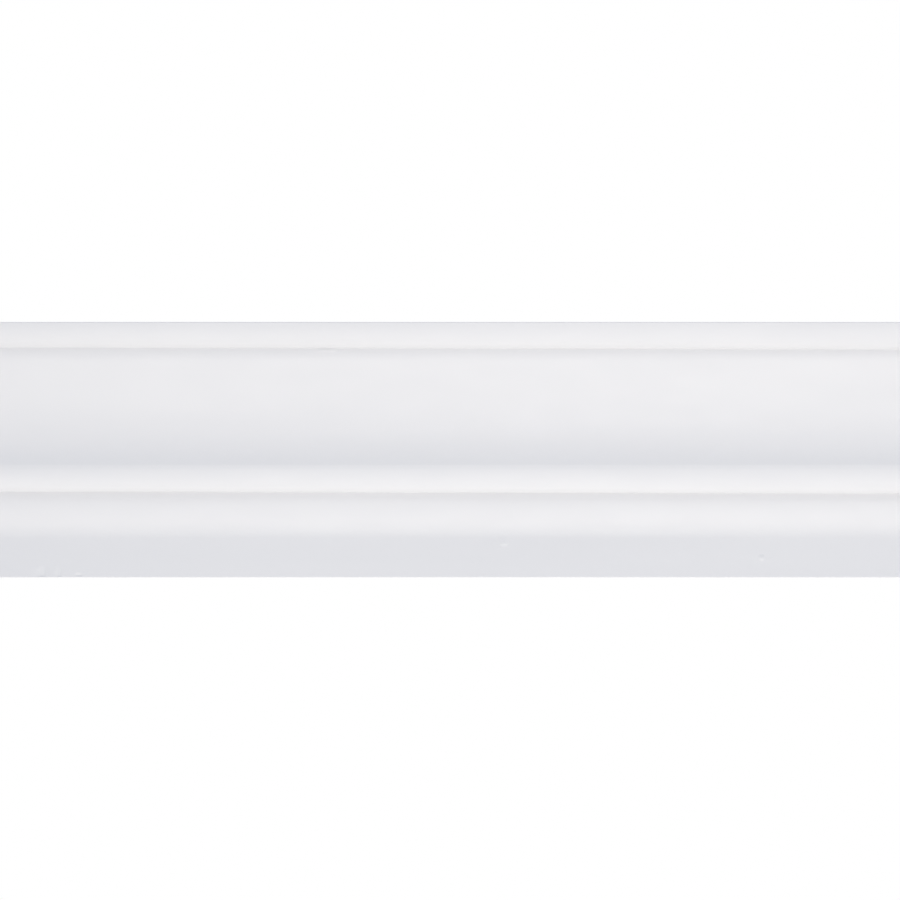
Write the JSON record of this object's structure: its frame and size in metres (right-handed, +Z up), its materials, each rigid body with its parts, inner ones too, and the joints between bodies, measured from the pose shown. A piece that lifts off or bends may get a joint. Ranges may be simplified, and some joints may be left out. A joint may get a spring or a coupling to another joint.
{
  "type": "decorative moulding",
  "caption": "Straight length of white wall moulding: a rounded nosing, a long ogee, a bead, a small ogee and a flat fascia on a flat back.",
  "frame": {"origin": "centre of the flat back, where the moulding is fixed to the wall", "axes": "+X along the length, +Z up towards the nosing, +Y out of the flat back into the wall, so the carved front faces -Y"},
  "size_m": [0.305, 0.037, 0.085],
  "materials": {
    "primed_white": "smooth white factory primer on rigid polyurethane foam, satin-matt"
  },
  "bodies": {
    "root": {"moulding": "primed_white"}
  },
  "joints": []
}
